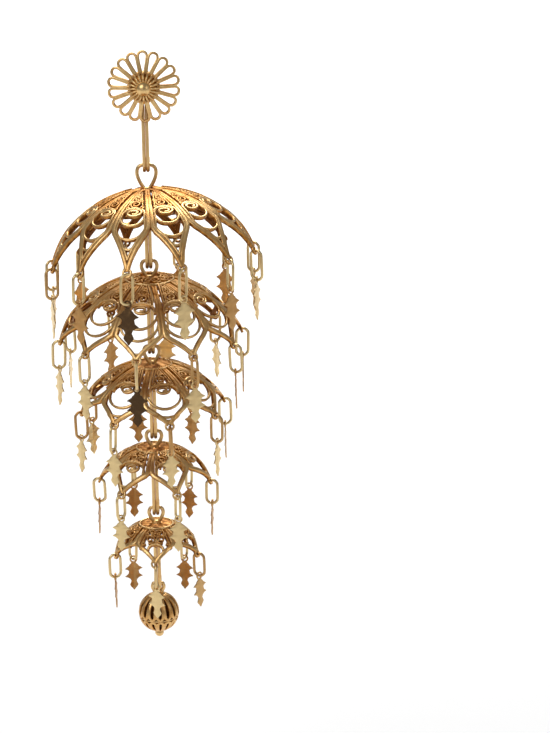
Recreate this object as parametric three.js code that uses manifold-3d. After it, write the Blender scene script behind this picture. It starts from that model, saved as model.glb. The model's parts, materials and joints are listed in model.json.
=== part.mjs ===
// A five-tier chandelier earring in gilt filigree. A wirework rosette is worn on the ear lobe. A strip
// hook under it carries five openwork domes, each smaller than the one above, and a wirework ball.
// Every petal tip of every dome carries a pendant: an oval link with a flat leaf threaded on it.
//
// Units are millimetres. +Z is up, the front of the earring looks along -Y and +X is its right side.
// The origin is where the ear post enters the lobe: the lobe's front lies in the plane y = 0.

import * as THREE from 'three';
import { mergeVertices } from 'three/addons/utils/BufferGeometryUtils.js';
import Module from 'manifold-3d';

const wasm = await Module();
wasm.setup();

// ---- Driving dimensions ----

const ARM_WIDTH = 0.9; // frame wire from the parting of two petals to the petal's tip
const ARM_BEND = 1.45; // over 1, the two arms of a petal close slowly, then run together at its tip
const CAP_THICK = 0.6; // the close scrollwork of the upper dome, one thin shell
const CAP_LAP = 0.4; // how far the cap laps over the roots of the arms

const POINT_THICK = 0.45; // flat wire of a petal's free point
const TIP_EYE_RADIUS = 0.92; // pierced lug on each petal tip, for the pendant's link
const TIP_HOLE_RADIUS = 0.7;

const LINK_WIRE = 0.52;
const LINK_OUT = 0.36; // a link's middle stands out from the middle of its lug's hole
const LEAF_THICK = 0.36;

const RING_WIRE = 0.62; // flat-topped suspension ring on each dome
const RING_FLAT = 0.72; // half the straight top of that ring
const HOOK_WIDTH = 1.3; // two parallel wires that end in the hook under each dome
const HOOK_THICK = 0.6;
const HOOK_RADIUS = 0.9; // middle of the hook's bend, round the next ring's top wire
const HOOK_TAIL = 1.2; // short end that rises behind the ring

const ROSETTE_RADIUS = 6.65;
const ROSETTE_PETALS = 18;
const ROSETTE_TURN = THREE.MathUtils.degToRad(-4.5); // first petal, from straight up
const ROSETTE_THICK = 0.9;
const ROSETTE_FRONT = -2.3; // y of the petals' front face
const ROSETTE_BACK = -0.55; // y of the back of the boss, close in front of the post's pad
const BOSS_RISE = 0.9; // how far the boss stands out in front of the petals
const ROSETTE_BOSS = 2.8; // raised inner flower
const ROSETTE_BALL = 1.3;

const POST_RADIUS = 0.45;
const POST_LENGTH = 11;
const POST_TAPER = 0.6; // its pointed end
const PAD_RADIUS = 2.0;
const PAD_THICK = 0.5;

const BAR_TOP = -4.3; // the hanger strip's upper end, behind the petals

const BALL_CENTRE = -101.1;
const BALL_RADIUS = 3.6; // middle of the ribs
const BALL_RIBS = 8;
const BALL_WIRE = 0.62;
const BALL_RING_TOP = -95.4; // middle of the top wire of the ball's ring
const BALL_RING_WIDTH = 3.5;
const BALL_KNOB_RADIUS = 0.85;
const BALL_KNOB_DROP = 4.2;

// apex: height of the dome's top. radius, height: the petal tips from the dome's axis and below its top.
// first: azimuth of the first petal from the front, towards +X. parting: where two petals part, as a part
// of the arc from top to tip. back, side: how the dome sits on its wire, front raised and left lowered.
// ring: width and height of the suspension ring. link: length and width. leaf: length from eye to point.
const TIERS = [
  { name: 'tier_1', apex: -19.15, radius: 18.8, height: 12.2, petals: 12, first: 18, parting: 0.66,
    back: 6, side: 4, ring: [4.1, 4.5], link: [6.1, 2.75], leaf: 7.5 },
  { name: 'tier_2', apex: -35.7, radius: 16.7, height: 10.9, petals: 10, first: -7, parting: 0.8,
    back: 0, side: 0, ring: [3.5, 3.15], link: [5.8, 2.75], leaf: 7.0 },
  { name: 'tier_3', apex: -52.0, radius: 13.3, height: 8.2, petals: 8, first: 15, parting: 0.78,
    back: 0, side: 0, ring: [3.5, 3.2], link: [5.6, 2.7], leaf: 6.6 },
  { name: 'tier_4', apex: -68.2, radius: 10.25, height: 6.5, petals: 6, first: 25, parting: 0.66,
    back: 0, side: 0, ring: [3.5, 3.0], link: [5.1, 2.6], leaf: 6.3 },
  { name: 'tier_5', apex: -83.2, radius: 7.9, height: 5.4, petals: 5, first: 0, parting: 0.54,
    back: 0, side: 0, ring: [3.3, 2.9], link: [5.0, 2.6], leaf: 6.2 },
];

// Half outline of a leaf below its eye: across from its middle, and down from the eye, as parts of its length.
const LEAF_OUTLINE = [
  { across: 0.085, down: 0.16 },
  { across: 0.25, down: 0.35 },
  { across: 0.105, down: 0.37 },
  { across: 0.185, down: 0.66 },
  { across: 0.075, down: 0.7 },
  { across: 0.105, down: 0.84 },
  { across: 0, down: 1 },
];
const LEAF_EYE = 0.115; // radius of the leaf's round head, as a part of its length

// ---- Solids ----

const rad = THREE.MathUtils.degToRad;

function toSolid(geometry) {
  const bare = geometry.clone();
  bare.deleteAttribute('normal');
  bare.deleteAttribute('uv');
  const merged = mergeVertices(bare, 1e-5);
  const vertProperties = new Float32Array(merged.attributes.position.array);
  const triVerts = new Uint32Array(merged.index.array);
  return new wasm.Manifold(new wasm.Mesh({ numProp: 3, vertProperties, triVerts }));
}

function joined(geometries) {
  return geometries.map(toSolid).reduce((whole, solid) => whole.add(solid));
}

function toGeometry(solid) {
  const mesh = solid.getMesh();
  const geometry = new THREE.BufferGeometry();
  geometry.setAttribute('position', new THREE.BufferAttribute(mesh.vertProperties.slice(), 3));
  geometry.setIndex(new THREE.BufferAttribute(mesh.triVerts.slice(), 1));
  geometry.computeVertexNormals();
  return geometry;
}

// A curve given by a function of 0..1.
class Route extends THREE.Curve {
  constructor(at) {
    super();
    this.at = at;
  }
  getPoint(t) {
    return this.at(t);
  }
}

// A wire of rectangular section along a curve. On a curve in the XZ or YZ plane the width lies across it.
function wire(curve, width, thick, steps) {
  const section = new THREE.Shape([
    new THREE.Vector2(-width / 2, -thick / 2),
    new THREE.Vector2(width / 2, -thick / 2),
    new THREE.Vector2(width / 2, thick / 2),
    new THREE.Vector2(-width / 2, thick / 2),
  ]);
  return new THREE.ExtrudeGeometry(section, { extrudePath: curve, steps, bevelEnabled: false });
}

// A body of revolution about Z, from [radius, z] pairs that start at the bottom of the axis and end at its top.
function turned(profile, sides) {
  const lathe = new THREE.LatheGeometry(profile.map(([r, z]) => new THREE.Vector2(r, z)), sides);
  return lathe.rotateX(Math.PI / 2);
}

// ---- Domes ----

// A tier's shape, worked out from its row: a cap of a sphere whose top is at the local origin.
function domeShape(tier) {
  const sphere = (tier.radius ** 2 + tier.height ** 2) / (2 * tier.height);
  const tipAngle = Math.asin(tier.radius / sphere);
  const half = Math.PI / tier.petals;
  // A point of the cap, angle down from the top and turned from the X axis.
  const point = (angle, turn) => new THREE.Vector3(
    sphere * Math.sin(angle) * Math.cos(turn),
    sphere * Math.sin(angle) * Math.sin(turn),
    -sphere * (1 - Math.cos(angle)));
  const azimuth = (index) => rad(tier.first - 90) + 2 * half * index;
  const tilt = new THREE.Matrix4().makeRotationFromEuler(new THREE.Euler(rad(-tier.back), rad(-tier.side), 0));
  return { sphere, tipAngle, half, point, azimuth, tilt };
}

// The close scrollwork round the top of a dome, down to where its petals part.
function cap(tier, shape) {
  const edge = shape.tipAngle * tier.parting + CAP_LAP / shape.sphere;
  const arc = (radius, from, to) => [0, 0.34, 0.67, 1].map((part) => {
    const angle = THREE.MathUtils.lerp(from, to, part);
    return [radius * Math.sin(angle), radius * Math.cos(angle) - shape.sphere];
  });
  const inner = arc(shape.sphere - CAP_THICK / 2, 0, edge);
  const outer = arc(shape.sphere + CAP_THICK / 2, edge, 0);
  return turned([...inner, ...outer], 2 * tier.petals);
}

// A petal's free point, built round the X axis: two arms from the partings on either side, one flat piece
// that ends in a pierced lug for the pendant.
function petalPoint(tier, shape) {
  const parting = shape.point(shape.tipAngle * tier.parting, shape.half);
  const tip = shape.point(shape.tipAngle, 0);
  const reach = Math.hypot(tip.x - parting.x, tip.z - parting.z);
  const across = (t) => parting.y * (1 - t) ** ARM_BEND;
  const edge = (t, offset) => new THREE.Vector2(across(t) + offset, t * reach);
  const lug = (turn) => new THREE.Vector2(
    TIP_EYE_RADIUS * Math.cos(rad(turn)), reach + TIP_EYE_RADIUS * Math.sin(rad(turn)));
  const half = ARM_WIDTH / 2;
  const right = [edge(0, -half), edge(0, half), edge(0.4, half), lug(-20), lug(40)];
  const notch = new THREE.Vector2(0, Math.min(
    reach * (1 - (half / parting.y) ** (1 / ARM_BEND)), reach - TIP_EYE_RADIUS));
  const innerRight = edge(0.4, -half);
  const mirror = (points) => points.map(({ x, y }) => new THREE.Vector2(-x, y)).reverse();
  const outline = new THREE.Shape([notch, innerRight, ...right, lug(90), ...mirror([innerRight, ...right])]);
  const hole = [0, 60, 120, 180, 240, 300].map((turn) => new THREE.Vector2(
    TIP_HOLE_RADIUS * Math.cos(rad(turn)), reach + TIP_HOLE_RADIUS * Math.sin(rad(turn))));
  outline.holes.push(new THREE.Path(hole));
  const geometry = new THREE.ExtrudeGeometry(outline, { depth: POINT_THICK, bevelEnabled: false });
  geometry.translate(0, 0, -POINT_THICK / 2);
  const down = new THREE.Vector3(tip.x - parting.x, 0, tip.z - parting.z).normalize();
  const sideways = new THREE.Vector3(0, 1, 0);
  const frame = new THREE.Matrix4().makeBasis(sideways, down, sideways.clone().cross(down));
  frame.setPosition(parting.x, 0, parting.z);
  return geometry.applyMatrix4(frame);
}

// The suspension ring in the XZ plane: its two legs start in the crown and its top is flat.
function suspensionRing(width, height) {
  const side = (width - RING_WIRE) / 2;
  const half = [[0.25, -0.25], [side * 0.72, height * 0.3], [side, height * 0.62], [side * 0.9, height * 0.88],
    [RING_FLAT, height]];
  const points = [
    ...half.map(([x, z]) => new THREE.Vector3(-x, 0, z)),
    ...half.reverse().map(([x, z]) => new THREE.Vector3(x, 0, z)),
  ];
  return wire(new THREE.CatmullRomCurve3(points, false, 'centripetal'), RING_WIRE, RING_WIRE, 12);
}

// The hook that hangs from height top down to the bend round the next ring's wire at height pivot: a J
// seen from the side, with its short end behind.
function hook(top, pivot) {
  const bend = (radius) => [0, 1, 2, 3, 4, 5, 6].map((step) => {
    const turn = Math.PI * (1 + step / 6);
    return new THREE.Vector2(radius * Math.cos(turn), pivot + radius * Math.sin(turn));
  });
  const [inner, outer] = [HOOK_RADIUS - HOOK_THICK / 2, HOOK_RADIUS + HOOK_THICK / 2];
  const outline = new THREE.Shape([
    new THREE.Vector2(-outer, top),
    ...bend(outer),
    new THREE.Vector2(outer, pivot + HOOK_TAIL),
    new THREE.Vector2(inner, pivot + HOOK_TAIL),
    ...bend(inner).reverse(),
    new THREE.Vector2(-inner, top),
  ]);
  const geometry = new THREE.ExtrudeGeometry(outline, { depth: HOOK_WIDTH, bevelEnabled: false });
  geometry.translate(0, 0, -HOOK_WIDTH / 2);
  return geometry.applyMatrix4(new THREE.Matrix4().makeBasis(
    new THREE.Vector3(0, 1, 0), new THREE.Vector3(0, 0, 1), new THREE.Vector3(1, 0, 0)));
}

// Height of the middle of the wire that the hook above a tier goes round.
const pivotOf = (tier) => tier.apex + tier.ring[1];

function dome(tier, nextPivot) {
  const shape = domeShape(tier);
  const pieces = [cap(tier, shape)];
  for (let index = 0; index < tier.petals; index += 1) {
    pieces.push(petalPoint(tier, shape).rotateZ(shape.azimuth(index)));
  }
  pieces.forEach((piece) => piece.applyMatrix4(shape.tilt));
  const bridge = new THREE.BoxGeometry(HOOK_WIDTH, HOOK_RADIUS + HOOK_THICK, HOOK_THICK);
  bridge.translate(0, -HOOK_RADIUS / 2, -HOOK_THICK / 2);
  return joined([...pieces, suspensionRing(...tier.ring), hook(0, nextPivot - tier.apex), bridge]);
}

// ---- Pendants ----

// The corners of an oval with blunt ends, length along Y.
function oval(length, width) {
  const corners = [[0.5, 0], [0.29, 0.5], [-0.29, 0.5], [-0.5, 0]];
  const end = (side) => corners.map(([x, y]) => new THREE.Vector2(
    side * x * width, side * (y * width + (length - width) / 2)));
  return [...end(1), ...end(-1)];
}

// An upright oval link in the XZ plane, the middle of its top wire at the origin.
function link(length, width) {
  const outline = new THREE.Shape(oval(length, width));
  outline.holes.push(new THREE.Path(oval(length - 2 * LINK_WIRE, width - 2 * LINK_WIRE)));
  const geometry = new THREE.ExtrudeGeometry(outline, { depth: LINK_WIRE, bevelEnabled: false });
  geometry.translate(0, -(length - LINK_WIRE) / 2, -LINK_WIRE / 2);
  return geometry.rotateX(Math.PI / 2);
}

// A leaf in the YZ plane, its eye at the origin.
function leaf(length) {
  const eye = LEAF_EYE * length;
  const head = [150, 90, 30].map((turn) => [eye * Math.cos(rad(turn)), eye * Math.sin(rad(turn))]);
  const right = LEAF_OUTLINE.map(({ across, down }) => [across * length, -down * length]);
  const left = right.slice(0, -1).reverse().map(([x, y]) => [-x, y]);
  const outline = new THREE.Shape([...head, ...right, ...left].map(([x, y]) => new THREE.Vector2(x, y)));
  const geometry = new THREE.ExtrudeGeometry(outline, { depth: LEAF_THICK, bevelEnabled: false });
  geometry.translate(0, 0, -LEAF_THICK / 2);
  return geometry.rotateX(Math.PI / 2).rotateZ(Math.PI / 2);
}

function pendant(tier) {
  const [length, width] = tier.link;
  const drop = leaf(tier.leaf).translate(0, 0, -(length - LINK_WIRE));
  return joined([link(length, width), drop]);
}

// ---- Ear part and ball ----

// The rosette's petals are teardrop loops: a scalloped plate with one opening in each petal.
function rosette() {
  const plate = new THREE.Shape();
  const petalTurn = 2 * Math.PI / ROSETTE_PETALS;
  const spot = (radius, turn) => [-radius * Math.sin(turn), radius * Math.cos(turn)];
  for (let index = 0; index < ROSETTE_PETALS; index += 1) {
    const middle = ROSETTE_TURN + index * petalTurn;
    const scallop = [[0.93, -0.5], [0.99, -0.22], [0.99, 0.22]];
    scallop.forEach(([out, across], corner) => {
      plate[index + corner ? 'lineTo' : 'moveTo'](...spot(ROSETTE_RADIUS * out, middle + across * petalTurn));
    });
    const opening = new THREE.Path();
    [[0.48, 0], [0.82, -0.28], [0.91, 0], [0.82, 0.28]].forEach(([out, across], corner) => {
      opening[corner ? 'lineTo' : 'moveTo'](...spot(ROSETTE_RADIUS * out, middle + across * petalTurn));
    });
    opening.closePath();
    plate.holes.push(opening);
  }
  plate.closePath();
  const petals = new THREE.ExtrudeGeometry(plate, { depth: ROSETTE_THICK, bevelEnabled: false });
  petals.rotateX(Math.PI / 2).translate(0, ROSETTE_FRONT + ROSETTE_THICK, 0);
  const boss = turned([[0, ROSETTE_BACK], [ROSETTE_BOSS, ROSETTE_BACK], [ROSETTE_BOSS, ROSETTE_FRONT],
    [ROSETTE_BOSS * 0.7, ROSETTE_FRONT - BOSS_RISE], [0, ROSETTE_FRONT - BOSS_RISE]].map(([r, y]) => [r, -y]), 12);
  boss.rotateX(Math.PI / 2);
  const ball = new THREE.SphereGeometry(ROSETTE_BALL, 8, 6).translate(0, ROSETTE_FRONT - BOSS_RISE, 0);
  return joined([petals, boss, ball]);
}

// The plain post through the ear lobe, with the pad that the rosette sits on.
function earPost() {
  const profile = [[0, -PAD_THICK], [PAD_RADIUS, -PAD_THICK], [PAD_RADIUS, 0], [POST_RADIUS, 0],
    [POST_RADIUS, POST_LENGTH - POST_TAPER], [0, POST_LENGTH]];
  return toSolid(turned(profile, 16).rotateX(-Math.PI / 2));
}

// The folded strip that hangs behind the petals and hooks through the ring of the first dome.
function hangerBar() {
  return toSolid(hook(BAR_TOP, pivotOf(TIERS[0])));
}

// The ball: ribs from pole to pole with a band round its waist, a ring on top and a knob below.
function filigreeBall() {
  const meridian = new Route((t) => {
    const angle = THREE.MathUtils.lerp(rad(14), rad(166), t);
    return new THREE.Vector3(BALL_RADIUS * Math.sin(angle), 0, BALL_RADIUS * Math.cos(angle));
  });
  const pieces = [];
  for (let index = 0; index < BALL_RIBS; index += 1) {
    pieces.push(wire(meridian, BALL_WIRE, BALL_WIRE, 5).rotateZ(2 * Math.PI * index / BALL_RIBS));
  }
  const [inside, outside] = [BALL_RADIUS - BALL_WIRE / 2, BALL_RADIUS + BALL_WIRE / 2];
  const capAt = (z, r) => turned([[0, z - 0.4], [r, z - 0.4], [r, z + 0.4], [0, z + 0.4]], 10);
  const waist = [[inside, -0.35], [outside, -0.35], [outside, 0.35], [inside, 0.35], [inside, -0.35]];
  pieces.push(turned(waist, BALL_RIBS * 2), capAt(BALL_RADIUS - 0.1, 1.5), capAt(0.1 - BALL_RADIUS, 1.5));
  pieces.push(new THREE.SphereGeometry(BALL_KNOB_RADIUS, 10, 6).translate(0, 0, -BALL_KNOB_DROP));
  pieces.forEach((piece) => piece.translate(0, 0, BALL_CENTRE));
  const top = BALL_CENTRE + BALL_RADIUS;
  const ring = suspensionRing(BALL_RING_WIDTH, BALL_RING_TOP - top).translate(0, 0, top);
  return joined([...pieces, ring]);
}

// ---- Assembly ----

const COLOURS = { gold: 0xcda668, deep: 0xa9783f, pale: 0xd8bd83 };

function gold(colour, roughness) {
  return new THREE.MeshStandardMaterial({ color: COLOURS[colour], metalness: 1, roughness });
}

const group = new THREE.Group();

function addPiece(name, solid, material) {
  const mesh = new THREE.Mesh(toGeometry(solid), material);
  mesh.name = name;
  group.add(mesh);
  return mesh;
}

addPiece('ear_post', earPost(), gold('gold', 0.3));
addPiece('ear_rosette', rosette(), gold('gold', 0.35));
addPiece('hanger_bar', hangerBar(), gold('gold', 0.3));

TIERS.forEach((tier, index) => {
  const next = TIERS[index + 1];
  const body = dome(tier, next ? pivotOf(next) : BALL_RING_TOP);
  addPiece(`${tier.name}_dome`, body, gold('deep', 0.42)).position.z = tier.apex;
  const shape = domeShape(tier);
  const drop = pendant(tier);
  for (let petalIndex = 0; petalIndex < tier.petals; petalIndex += 1) {
    const turn = shape.azimuth(petalIndex);
    const name = `${tier.name}_pendant_${String(petalIndex + 1).padStart(2, '0')}`;
    const mesh = addPiece(name, drop, gold('pale', 0.38));
    mesh.position.copy(shape.point(shape.tipAngle, turn).applyMatrix4(shape.tilt));
    mesh.position.z += tier.apex;
    mesh.rotation.z = turn;
    mesh.translateX(LINK_OUT);
  }
});

addPiece('filigree_ball', filigreeBall(), gold('deep', 0.4));

export default group;
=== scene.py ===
# %% [markdown]
# # A five-tier chandelier earring
# The earring is yellow gilt filigree: ribbon wire bent into scrolls and soldered into domes, with flat
# leaves on oval links round every rim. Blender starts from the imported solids, which fix each size and
# place, and puts the real wirework in their place.

# %% Load the frame
import json
import math
from collections import namedtuple

import bpy
import numpy as np
from mathutils import Matrix, Vector


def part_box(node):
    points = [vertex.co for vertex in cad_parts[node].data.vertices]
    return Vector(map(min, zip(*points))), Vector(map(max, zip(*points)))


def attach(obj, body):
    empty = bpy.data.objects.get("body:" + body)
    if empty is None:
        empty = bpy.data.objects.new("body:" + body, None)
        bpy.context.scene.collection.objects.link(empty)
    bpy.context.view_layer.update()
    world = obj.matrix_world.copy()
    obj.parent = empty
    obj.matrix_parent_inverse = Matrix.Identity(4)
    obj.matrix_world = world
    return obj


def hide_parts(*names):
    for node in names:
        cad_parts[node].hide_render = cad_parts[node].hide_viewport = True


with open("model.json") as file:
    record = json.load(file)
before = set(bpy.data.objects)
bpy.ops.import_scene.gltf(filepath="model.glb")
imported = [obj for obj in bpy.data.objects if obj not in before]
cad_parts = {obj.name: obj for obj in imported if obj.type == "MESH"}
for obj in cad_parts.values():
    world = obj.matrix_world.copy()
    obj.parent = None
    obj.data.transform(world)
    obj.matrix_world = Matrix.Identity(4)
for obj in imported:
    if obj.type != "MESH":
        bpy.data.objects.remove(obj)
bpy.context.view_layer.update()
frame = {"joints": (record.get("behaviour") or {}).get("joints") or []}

MM = 0.001
pivots = {joint["child"]: joint["pos_m"][2] / MM for joint in frame["joints"]}

# %% [markdown]
# ## Camera
# Small jewellery is seen from half a metre away through a long lens, a little from above, so the
# front petals of each dome hang lower in the view than the back ones. The camera leans a touch, as the
# earring hangs a touch off plumb.

# %% Place the camera
CAMERA_PLACE = (23, -530, 110)
CAMERA_PITCH = 17.0
CAMERA_LEAN = 0.9
CAMERA_LENS = 147.8
CAMERA_SHIFT = (-0.0024, -0.0078)


def placed(name, data):
    """A new object in the scene."""
    made = bpy.data.objects.new(name, data)
    bpy.context.scene.collection.objects.link(made)
    return made


camera = placed("camera", bpy.data.cameras.new("camera"))
bpy.context.scene.camera = camera
camera.data.sensor_width, camera.data.lens = 36, CAMERA_LENS
camera.data.shift_x, camera.data.shift_y = CAMERA_SHIFT
camera.data.clip_start, camera.data.clip_end = 0.01, 10
pitch = Matrix.Rotation(math.radians(90 - CAMERA_PITCH), 4, "X")
roll = Matrix.Rotation(math.radians(-CAMERA_LEAN), 4, "Z")
camera.matrix_world = Matrix.Translation(Vector(CAMERA_PLACE) * MM) @ pitch @ roll
print("camera lens", camera.data.lens, "mm")

# %% [markdown]
# ## Stage and light
# Polished metal shows whatever stands round it. A floor of pale paper lies well below and runs far
# back, so it is all that shows behind the earring, and a wide lamp over it whitens it. A large soft lamp
# in front and above gives the pale sheen, and a small one on the right lightens the shadows. The dimmer
# room between them leaves the darker reflections that make gold look like gold.

# %% Build the floor, the lamps and the room
FLOOR_HEIGHT = -175
FLOOR_REACH = 4000
PAPER_WHITE = 0.93
ROOM_GREY = 0.22
EARRING_MIDDLE = (0, 0, -50)


def shape(name, places, edges=(), faces=()):
    """A mesh object. Places in mm."""
    mesh = bpy.data.meshes.new(name)
    mesh.from_pydata([[v * MM for v in place] for place in places], edges, faces)
    return placed(name, mesh)


def lamp(name, place, aim, size, power):
    """A round area lamp. Places and size in mm, power in watts."""
    data = bpy.data.lights.new(name, "AREA")
    data.shape, data.size, data.energy = "DISK", size * MM, power
    facing = (Vector(aim) - Vector(place)).to_track_quat("-Z", "Y").to_matrix().to_4x4()
    placed(name, data).matrix_world = Matrix.Translation(Vector(place) * MM) @ facing


paper = bpy.data.materials.new("paper")
paper.use_nodes = True
paper_inputs = paper.node_tree.nodes["Principled BSDF"].inputs
paper_inputs["Base Color"].default_value = (PAPER_WHITE, PAPER_WHITE, PAPER_WHITE, 1)
paper_inputs["Roughness"].default_value = 0.9
square = ((-1, -1), (1, -1), (1, 1), (-1, 1))
floor = shape("floor", [(x * FLOOR_REACH, y * FLOOR_REACH, FLOOR_HEIGHT) for x, y in square],
              faces=[(0, 1, 2, 3)])
floor.data.materials.append(paper)

lamp("key_lamp", (-300, -420, 420), EARRING_MIDDLE, 500, 1.6)
lamp("fill_lamp", (420, -260, 160), EARRING_MIDDLE, 200, 0.22)
lamp("floor_lamp", (0, 1100, 1000), (0, 900, FLOOR_HEIGHT), 1100, 25.5)

world = bpy.data.worlds.new("room")
bpy.context.scene.world = world
world.use_nodes = True
world.node_tree.nodes["Background"].inputs["Color"].default_value = (ROOM_GREY, ROOM_GREY, ROOM_GREY, 1)
bpy.context.scene.view_settings.view_transform = "Standard"

# %% [markdown]
# ## Node trees written as sums
# Materials and wire-makers are both node trees. One class stands for a socket, so a formula such as
# `1 - mask` is written as it reads and adds its own Math nodes. Every other node comes from `Tree.add`.

# %% A socket that does arithmetic, and a tree that adds nodes


class Value:
    """A socket of a node tree. Arithmetic on it adds a Math node."""

    def __init__(self, tree, socket):
        self.tree, self.socket = tree, socket

    def output(self, name):
        """Another output of the same node."""
        return Value(self.tree, self.socket.node.outputs[name])

    def math(self, operation, *values):
        return self.tree.add("ShaderNodeMath", {"operation": operation}, dict(enumerate(values)))

    def __add__(self, other):
        return self.math("ADD", self, other)

    def __mul__(self, other):
        return self.math("MULTIPLY", self, other)

    def __sub__(self, other):
        return self.math("SUBTRACT", self, other)

    def __rsub__(self, other):
        return self.math("SUBTRACT", other, self)

    def __truediv__(self, other):
        return self.math("DIVIDE", self, other)

    def __rtruediv__(self, other):
        return self.math("DIVIDE", other, self)

    __radd__, __rmul__ = __add__, __mul__

    def clamped(self):
        return self.tree.add("ShaderNodeClamp", {}, {"Value": self})

    def between(self, low, high):
        """0 below low, 1 above high, smooth between them."""
        return self.tree.add("ShaderNodeMapRange", {"interpolation_type": "SMOOTHSTEP"},
                             {"Value": self, "From Min": low, "From Max": high})


class Tree:
    """Adds nodes to a node tree."""

    def __init__(self, data):
        self.data = data

    def add(self, kind, settings=None, sockets=None):
        """Adds a node: its settings first, then the values or links of its sockets, by name or number."""
        node = self.data.nodes.new(kind)
        for name, value in (settings or {}).items():
            setattr(node, name, value)
        for key, value in (sockets or {}).items():
            socket = node.inputs[key] if isinstance(key, int) else next(
                s for s in node.inputs if s.enabled and s.name == key)
            if isinstance(value, Value):
                self.data.links.new(value.socket, socket)
            else:
                socket.default_value = value
        made = [s for s in node.outputs if s.enabled]
        return Value(self, made[0]) if made else None

    def vector(self, operation, *values, **named):
        """Adds a Vector Math node."""
        sockets = {**dict(enumerate(values)), **named}
        return self.add("ShaderNodeVectorMath", {"operation": operation}, sockets)


print("a formula such as 1 - mask adds its own nodes")

# %% [markdown]
# ## Gilt finishes
# The gilding is pale and polished where fingers rub it, on the outer edges of the ribbon wire. Down
# between the wires it is painted darker: partly the brown bloom of tarnish, partly painted shade where
# the wires shade each other. The wire-makers below leave a number on each point, `recess`,
# that is 0 on the outer edge and rises with the depth, and the hung leaves and links have `tone`, one
# number for each. The colours follow these and two sizes of noise, read in the piece's own
# coordinates, so nothing slides when a tier swings. A third, finer noise roughens the surface.

# %% Make the three finishes
PATCH_SIZE = 3.2
GRAIN_SIZE = 0.8
SPECK_SIZE = 0.22


def tint(tree, factor, one, other):
    """A colour between two, by a factor."""
    return tree.add("ShaderNodeMix", {"data_type": "RGBA"}, {"Factor": factor, "A": one, "B": other})


def noise(tree, place, size, detail=2.0):
    """Smooth noise whose patches are about size mm across."""
    return tree.add("ShaderNodeTexNoise", {}, {"Vector": place, "Scale": 1 / (size * MM), "Detail": detail})


def gilt(name, bright, deep, grime_and_shade, gloss, relief, mottle, spread):
    """A gilt finish. bright, deep, grime_and_shade: rubbed, plain and tarnished colour, the last also
    standing for painted shade deep between the wires. gloss: roughness where rubbed. relief: depth of the
    grain in mm. mottle: strength of the patches. spread: how far tone darkens a leaf or a link."""
    material = bpy.data.materials.new(name)
    material.use_nodes = True
    tree = Tree(material.node_tree)
    shader = material.node_tree.nodes["Principled BSDF"]
    place = tree.add("ShaderNodeTexCoord").output("Object")
    recess = tree.add("ShaderNodeAttribute", {"attribute_name": "recess"}).output("Fac")
    tone = tree.add("ShaderNodeAttribute", {"attribute_name": "tone"}).output("Fac")
    patch, grain = noise(tree, place, PATCH_SIZE), noise(tree, place, GRAIN_SIZE)
    speck = noise(tree, place, SPECK_SIZE, 3.0)
    cloud, dust = (patch - 0.45) * mottle, (grain - 0.5) * mottle
    browned, blackened = tone.between(0.35, 0.6) * spread, tone.between(0.86, 0.95) * spread
    # These two paint the gilt darker deep between the wires: painted shade there, with real tarnish,
    # patches of noise and each piece's tone.
    wear_and_shade = (recess.between(0.04, 0.3) * 0.9 + cloud + dust * 0.6 + browned).clamped()
    dirt_and_shade = (recess + cloud * 0.6 + dust + blackened).between(0.3, 0.85)
    colour = tint(tree, dirt_and_shade, tint(tree, wear_and_shade, (*bright, 1), (*deep, 1)), (*grime_and_shade, 1))
    rough = gloss + wear_and_shade * 0.12 + dirt_and_shade * 0.22 + (speck - 0.5) * 0.12
    bump = tree.add("ShaderNodeBump", {}, {
        "Strength": 1.0, "Distance": relief * MM, "Height": grain * 0.6 + speck})
    for socket, value in {"Base Color": colour, "Roughness": rough, "Normal": bump}.items():
        material.node_tree.links.new(value.socket, shader.inputs[socket])
    shader.inputs["Metallic"].default_value = 1
    return material


gilt_wire = gilt("gilt_wire", (0.85, 0.575, 0.255), (0.58, 0.25, 0.045), (0.24, 0.088, 0.016),
                 gloss=0.33, relief=0.018, mottle=1.0, spread=0.0)
gilt_leaf = gilt("gilt_leaf", (0.8, 0.6, 0.3), (0.52, 0.26, 0.08), (0.12, 0.07, 0.035),
                 gloss=0.3, relief=0.012, mottle=0.35, spread=0.85)
gilt_post = gilt("gilt_post", (0.86, 0.65, 0.36), (0.7, 0.46, 0.21), (0.34, 0.19, 0.09),
                 gloss=0.18, relief=0.015, mottle=0.4, spread=0.0)
print("finishes:", gilt_wire.name, gilt_leaf.name, gilt_post.name)

# %% [markdown]
# ## Making pieces
# A wire starts as a drawing: a mesh of points and edges with a number on each point, `swell`, that
# widens or thins the wire. A tree turns the drawing into metal, and the result becomes a plain mesh.

# %% Drawings, and trees run on them
Path = namedtuple("Path", "points closed swell")


def path(points, closed=False, swell=1.0):
    """A path through points in mm. swell is one number or one for each point."""
    return Path(np.array(points, float), closed, np.broadcast_to(swell, len(points)))


def mark(made, name, values):
    """Stores a number on each point of an object's mesh."""
    made.data.attributes.new(name, "FLOAT", "POINT").data.foreach_set("value", values)


def drawing(name, paths):
    """An object whose edges follow the paths."""
    places, edges, swells = [], [], []
    for line in paths:
        start, count = len(places), len(line.points)
        places += list(line.points)
        edges += [(start + i, start + (i + 1) % count) for i in range(count - (not line.closed))]
        swells += list(line.swell)
    made = shape(name, places, edges)
    mark(made, "swell", swells)
    return made


def geometry_tree(name, inputs):
    """An empty geometry tree with named inputs, {name: socket type}, and the node that gives them."""
    group = bpy.data.node_groups.new(name, "GeometryNodeTree")
    group.interface.new_socket("Geometry", in_out="INPUT", socket_type="NodeSocketGeometry")
    for label, kind in inputs.items():
        group.interface.new_socket(label, in_out="INPUT", socket_type="NodeSocket" + kind)
    group.interface.new_socket("Geometry", in_out="OUTPUT", socket_type="NodeSocketGeometry")
    tree = Tree(group)
    return tree, tree.add("NodeGroupInput")


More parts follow.
